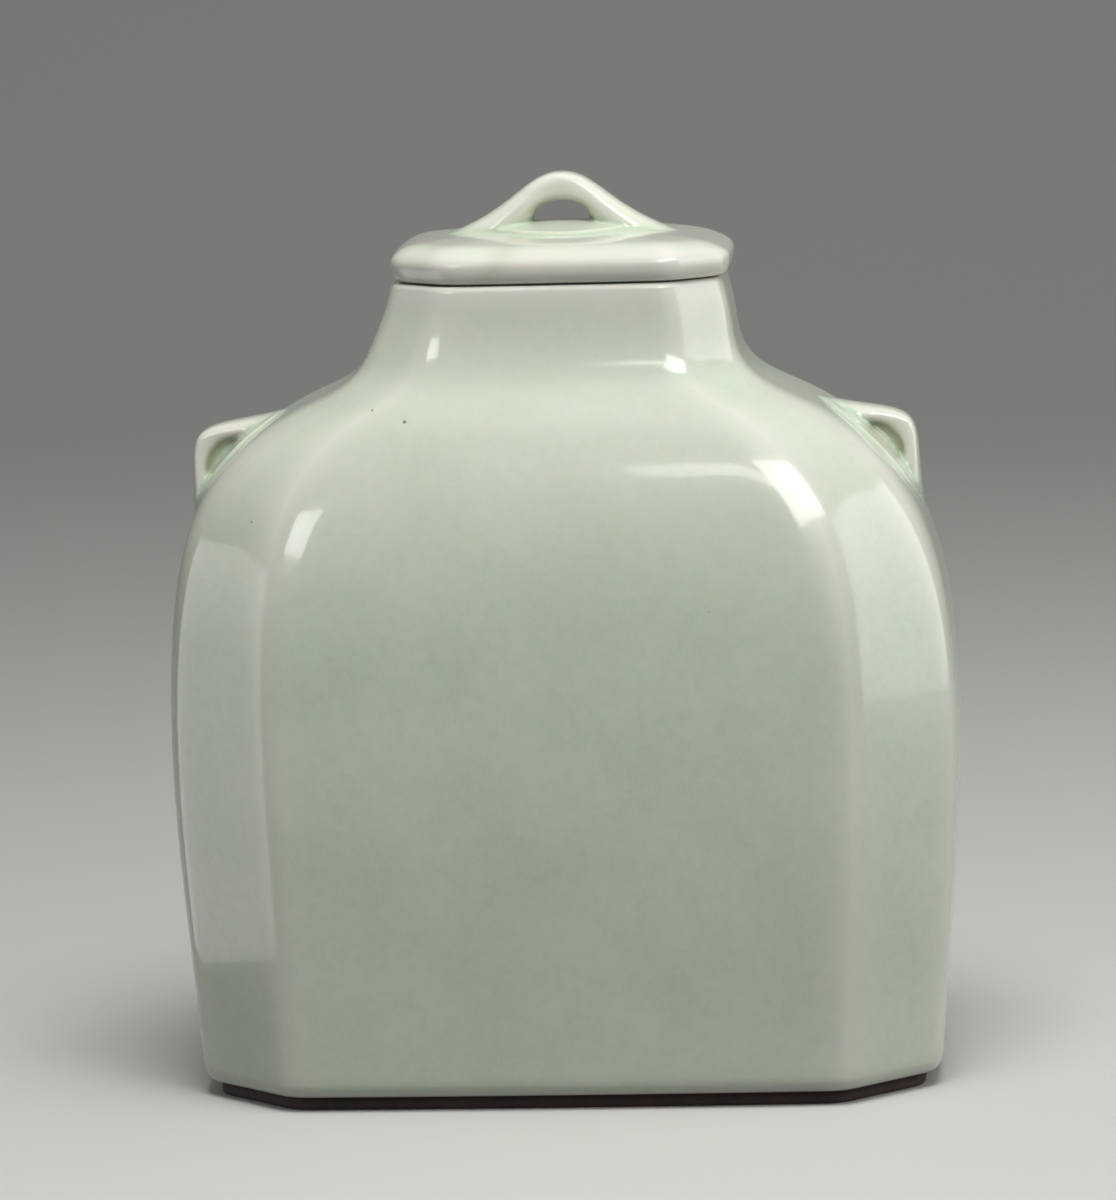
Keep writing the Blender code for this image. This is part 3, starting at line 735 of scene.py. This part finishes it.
def arch(points, t):
    """A point of a cubic curve in the plane of a loop's arch, for t from 0 at its top to 1 at its foot."""
    s = 1 - t
    weights = (s**3, 3 * s * s * t, 3 * s * t * t, t**3)
    return sum(w * p[0] for w, p in zip(weights, points)), sum(w * p[1] for w, p in zip(weights, points))


def strap_arch(size):
    """The outer arch of a loop: a level top, a waist and a foot that runs out over the skin."""
    top, crest = (0, size["height"]), (size["crest"], size["height"])
    waist = (PAD_RADIUS - size["waist_inside"], size["edge"] + size["waist_height"])
    return top, crest, waist, (PAD_RADIUS + size["tail"], STRAP_DEPTH)


def hole_arch(size):
    """The arch of a loop's hole: steep at its foot and low and broad at its top."""
    half, top = size["hole_width"] / 2, size["hole_top"]
    hip, foot = (half * HOLE_HIP, top * HOLE_HIP_TOP), (half * HOLE_FOOT, HOLE_DEPTH)
    return (0, top), (half * HOLE_CREST, top), hip, foot


def disc_rows(radii, profile):
    """Rows of a round or oval disc, from (share of the radius, height) pairs."""
    turn = np.linspace(0, 2 * math.pi, DISC_SIDES, endpoint=False)
    rows = []
    for share, height in profile:
        x, y = radii[0] * share * np.cos(turn), radii[1] * share * np.sin(turn)
        rows.append(np.column_stack((x, y, np.full(DISC_SIDES, height))))
    return rows


def pad_profile(size):
    """The profile of a loop's round pad: its flat back, its beaded edge and its crowned top."""
    edge, rise = size["edge"], size["crown"] - size["edge"]
    profile = [(0, PAD_DEPTH), (1, PAD_DEPTH)]
    profile += [(share, edge + height) for share, height in BEAD]
    return profile + [(share, edge + rise * (1 - share**2)) for share in PAD_SHARES]


def strap_rows(size):
    """Rows of the pulled strap: thick at its top, spreading into two wide feet."""
    outer, inner = strap_arch(size), hole_arch(size)
    turn = np.linspace(0, 2 * math.pi, STRAP_SIDES, endpoint=False)
    rows = []
    for step in range(-STRAP_STEPS, STRAP_STEPS + 1):
        t, side = abs(step) / STRAP_STEPS, math.copysign(1, step)
        (outer_x, outer_z), (inner_x, inner_z) = arch(outer, t), arch(inner, t)
        centre = np.array((side * (outer_x + inner_x) / 2, 0, (outer_z + inner_z) / 2))
        across = np.array((side * (outer_x - inner_x) / 2, 0, (outer_z - inner_z) / 2))
        half_width = (STRAP_WIDTH + (STRAP_FOOT_WIDTH - STRAP_WIDTH) * eased(t)) / 2
        power = STRAP_POWER + STRAP_POWER_GAIN * t
        out = np.sign(np.cos(turn)) * np.abs(np.cos(turn)) ** power
        along = np.sign(np.sin(turn)) * np.abs(np.sin(turn)) ** power
        rows.append(centre + across * out[:, None] + np.array((0, 1, 0)) * (half_width * along)[:, None])
    for end, row in ((0, rows[0]), (len(rows) + 1, rows[-1])):
        rows.insert(end, np.repeat(row.mean(axis=0)[None], STRAP_SIDES, axis=0))
    return rows


def web_rows(size):
    """Rows of the glaze that has closed the middle of a small hole."""
    reach, top = size["hole_width"] / 2 + WEB_MARGIN, size["hole_top"] + WEB_MARGIN
    x = np.array((-reach, reach, reach * WEB_TAPER, -reach * WEB_TAPER))
    z = np.array((WEB_FOOT, WEB_FOOT, top, top))
    rows = []
    for shrink, y in ((0, -WEB_HALF_DEPTH), (1, -WEB_HALF_DEPTH), (1, WEB_HALF_DEPTH), (0, WEB_HALF_DEPTH)):
        across, up = x.mean() + (x - x.mean()) * shrink, z.mean() + (z - z.mean()) * shrink
        rows.append(np.column_stack((across, np.full(len(x), y), up)))
    return rows


def grow_together(name, parts, surface, axis):
    """One skin round several lumps of clay, each draped over the skin that it stands on."""
    clay = bpy.data.meshes.new(name + "_clay")
    lumps = bmesh.new()
    for rows in parts:
        lump = wrap(rows)
        points = [vert.co.copy() for vert in lump.verts]
        for vert, point in zip(lump.verts, drape(surface, axis, points)):
            vert.co = point
        lump.to_mesh(clay)
        lump.free()
        lumps.from_mesh(clay)
    lumps.to_mesh(clay)
    lumps.free()
    block = bpy.data.objects.new(name + "_clay", clay)
    bpy.context.scene.collection.objects.link(block)
    remesh = block.modifiers.new("grow_together", 'REMESH')
    remesh.mode = 'VOXEL'
    remesh.voxel_size = VOXEL
    graph = bpy.context.evaluated_depsgraph_get()
    grown = bpy.data.meshes.new_from_object(block.evaluated_get(graph))
    bpy.data.objects.remove(block)
    skin = bmesh.new()
    skin.from_mesh(grown)
    return skin


def proudness(skin):
    """How far each point stands out from a much softer copy of its skin. It is below zero in a crease."""
    sharp = np.array([vert.co for vert in skin.verts])
    soft_skin = skin.copy()
    soften(soft_skin, PROUD_PASSES)
    soft = np.array([vert.co for vert in soft_skin.verts])
    soft_skin.free()
    skin.normal_update()
    normals = np.array([vert.normal for vert in skin.verts])
    return np.einsum("ij,ij->i", sharp - soft, normals)


def loop_glaze(skin, size, axis):
    """The glaze of a loop: thin on the strap and thinner on its edges, pooled in the creases, and brown round
    the top of the hole, which is a little iron on the handle and painted shade in the shoulder loops' closed
    hollows."""
    proud = proudness(skin)
    back = axis.inverted()
    local = np.array([back @ vert.co for vert in skin.verts])
    on_loop = ramp(local[:, 2], LOOP_THIN_START, LOOP_THIN_FULL)
    thin = np.clip(LOOP_THIN * on_loop + proud / PROUD_FULL, 0, 1)
    pool = np.clip(-proud / CREASE_FULL, 0, CREASE_MOST)
    arc = np.array([arch(hole_arch(size), t) for t in IRON_AND_SHADE_ARCH])
    across, up = np.abs(local[:, :1]) - arc[None, :, 0], local[:, 2:] - arc[None, :, 1]
    # Brown round the top of the hole: iron on the handle, painted shade in the shoulder loops' hollows
    stain = size["iron"] * band(np.hypot(across, up).min(axis=1), 0, IRON_AND_SHADE_SPREAD)
    return {"thin_glaze": thin, "pooled_glaze": pool, "iron_stain_and_painted_shade": stain}


def mark(skin, marks):
    """Give each point of a skin its marks, which are in the order of its points."""
    for name, values in marks.items():
        layer = skin.verts.layers.float.new(name)
        for vert, value in zip(skin.verts, values):
            vert[layer] = float(value)


def make_loop(name, glaze, size, surface, axis, body, nodes):
    """A strap loop on its round pad, grown together with a thin sheet of the skin that they stand on."""
    sheet_radii = (PAD_RADIUS + size["tail"] + SHEET_PAST_FEET, PAD_RADIUS + SHEET_PAST_PAD)
    pad_radii = (PAD_RADIUS, PAD_RADIUS)
    parts = [disc_rows(sheet_radii, SHEET), disc_rows(pad_radii, pad_profile(size)), strap_rows(size)]
    if size["closed"]:
        parts.append(web_rows(size))
    skin = grow_together(name, parts, surface, axis)
    soften(skin, LOOP_PASSES)
    mark(skin, loop_glaze(skin, size, axis))
    bmesh.ops.recalc_face_normals(skin, faces=skin.faces)
    piece(name, skin, glaze, "celadon_glaze", body, *nodes)


def lug_axis(side):
    """The frame of a shoulder pad: its middle on the side face, leaning out with the shoulder."""
    levels, ways = curve(*shoulder_controls(), LUG_PLACE_STEPS)
    middle = min(range(len(levels)), key=lambda number: abs(levels[number][HIGH] - LUG_HEIGHT))
    seat = levels[middle]
    lean = math.atan2(ways[middle][HIGH], -ways[middle][WIDE])
    x = side * seat[WIDE] + lean_at(seat[HIGH])
    axis = Matrix.Translation((x, 0, seat[HIGH])) @ Matrix.Rotation(side * lean, 4, 'Y')
    return axis @ Matrix.Translation((side * LUG_SLIPS[side], 0, 0))


# The studio

# The camera, in metres and degrees, with its lens for a sensor 36 mm wide
CAMERA_AZIMUTH = math.radians(3.5435)
CAMERA_ELEVATION = math.radians(8.0701)
CAMERA_ROLL = math.radians(1.5088)
CAMERA_DISTANCE = 1.5
CAMERA_LENS = 196.79
SENSOR_WIDTH = 36
SEEN_DEPTH = 30
TARGET = Vector((-0.0021, 0, 0.1167))
# The floor: where it starts, where it bends up, the bend's radius, its whole length and half its width
FLOOR_START = -2.5
FLOOR_BEND = 1.4
FLOOR_RADIUS = 1.2
FLOOR_LENGTH = 7.0
FLOOR_HALF_WIDTH = 4
FLOOR_ROWS = 64
FLOOR_COLUMNS = 8
# The middle that the lights face, and the light of the room itself
LIGHT_TARGET = Vector((0, 0, 0.12))
ROOM_LIGHT = 0.225


def make_camera():
    """The photograph's view: a long lens, a little above and to the right, turned a degree and a half."""
    az, el, roll = CAMERA_AZIMUTH, CAMERA_ELEVATION, CAMERA_ROLL
    forward = Vector((-math.sin(az) * math.cos(el), math.cos(az) * math.cos(el), -math.sin(el)))
    right = Vector((math.cos(az), math.sin(az), 0))
    up = right.cross(forward)
    across = right * math.cos(roll) - up * math.sin(roll)
    above = right * math.sin(roll) + up * math.cos(roll)
    data = bpy.data.cameras.new("camera")
    data.sensor_fit = 'HORIZONTAL'
    data.sensor_width = SENSOR_WIDTH
    data.lens = CAMERA_LENS
    data.clip_end = SEEN_DEPTH
    camera = bpy.data.objects.new("camera", data)
    bpy.context.scene.collection.objects.link(camera)
    turn = Matrix((across, above, -forward)).transposed().to_4x4()
    camera.matrix_world = Matrix.Translation(TARGET - forward * CAMERA_DISTANCE) @ turn
    bpy.context.scene.camera = camera


def make_floor():
    """A pale floor that sweeps up into a backdrop, of plain matt paper."""
    finish = new_finish("pale_paper_sweep", {"Base Color": linear("#C2C1BD"), "Roughness": 0.7})[0]
    sweep = bmesh.new()
    bmesh.ops.create_grid(sweep, x_segments=FLOOR_COLUMNS, y_segments=FLOOR_ROWS, size=1)
    for vert in sweep.verts:
        x = vert.co.x * FLOOR_HALF_WIDTH
        along = (vert.co.y + 1) / 2 * FLOOR_LENGTH + FLOOR_START
        past = along - FLOOR_BEND
        angle = past / FLOOR_RADIUS
        if past < 0:
            vert.co = (x, along, 0)
        elif angle < math.pi / 2:
            vert.co = (x, FLOOR_BEND + FLOOR_RADIUS * math.sin(angle), FLOOR_RADIUS * (1 - math.cos(angle)))
        else:
            vert.co = (x, FLOOR_BEND + FLOOR_RADIUS, FLOOR_RADIUS * (1 - math.pi / 2) + past)
    data = bpy.data.meshes.new("floor")
    sweep.to_mesh(data)
    sweep.free()
    data.shade_smooth()
    data.materials.append(finish)
    floor = bpy.data.objects.new("floor", data)
    bpy.context.scene.collection.objects.link(floor)
    # Light that the pale floor throws back would flatten the jar's lower half
    floor.visible_diffuse = False


def softbox(name, at, size, power, roll=0, gloss=True, shade=True):
    """A rectangular soft light that faces the jar. It hangs at degrees to the right of the front, degrees up
    and metres away. As with polarised studio lights, the glaze may mirror it without being lit by it, or be
    lit by it without mirroring it."""
    azimuth, elevation, distance = at
    data = bpy.data.lights.new(name, 'AREA')
    data.shape = 'RECTANGLE'
    data.size, data.size_y = size
    data.energy = power
    light = bpy.data.objects.new(name, data)
    bpy.context.scene.collection.objects.link(light)
    az, el = math.radians(azimuth), math.radians(elevation)
    way = Vector((math.sin(az) * math.cos(el), -math.cos(az) * math.cos(el), math.sin(el)))
    light.location = LIGHT_TARGET + way * distance
    aim = way.to_track_quat('Z', 'Y') @ Quaternion((0, 0, 1), math.radians(roll))
    light.rotation_euler = aim.to_euler()
    light.visible_camera = False
    light.visible_glossy = gloss
    light.visible_diffuse = shade


def make_light():
    """A big box and a narrow one that the glaze mirrors at the upper right, a window and a card that it
    mirrors at the left, a panel on the right, and soft light from above that shades the forms."""
    world = bpy.data.worlds.new("studio")
    world.use_nodes = True
    bpy.context.scene.world = world
    room = world.node_tree.nodes["Background"]
    room.inputs["Color"].default_value = linear("#FFFFFF")
    room.inputs["Strength"].default_value = ROOM_LIGHT
    softbox("key_box", (38.5, 37.5, 1.2), (0.78, 0.42), 7.0, roll=14, shade=False)
    softbox("key_edge", (9, 33, 1.2), (0.34, 0.085), 0.45, roll=6, shade=False)
    softbox("left_window", (-26, 21, 1.5), (0.54, 0.29), 2.8, roll=-12, shade=False)
    softbox("right_panel", (92, 4, 1.0), (1.0, 1.0), 5.8)
    softbox("left_card", (-76.8, -9.4, 0.208), (0.180, 0.170), 0.115, shade=False)
    softbox("overhead", (10, 67, 1.05), (0.60, 0.60), 12.0, gloss=False)
    softbox("front_fill", (30, 45, 1.2), (0.60, 0.60), 1.2, gloss=False)
    bpy.context.scene.view_settings.view_transform = 'Standard'


def main():
    glaze, biscuit, bare = celadon_glaze(), iron_biscuit_with_painted_shade(), bare_porcelain()
    jar_surface, edge = make_jar(glaze)
    make_foot(biscuit, edge)
    flange_outer, flange_inner = flange_outlines()
    make_flange(bare, flange_outer, flange_inner)
    lid_surface, lid_top = make_lid(glaze, flange_inner)
    for name, side in (("left", -1), ("right", 1)):
        nodes = (name + "_lug_pad", name + "_lug_loop")
        make_loop(name + "_shoulder_loop", glaze, LUG, jar_surface, lug_axis(side), "jar", nodes)
    handle_axis = Matrix.Translation((HANDLE_SHIFT, 0, lid_top))
    make_loop("lid_handle", glaze, HANDLE, lid_surface, handle_axis, "lid", ("lid_pad", "lid_loop"))
    make_camera()
    make_floor()
    make_light()


main()
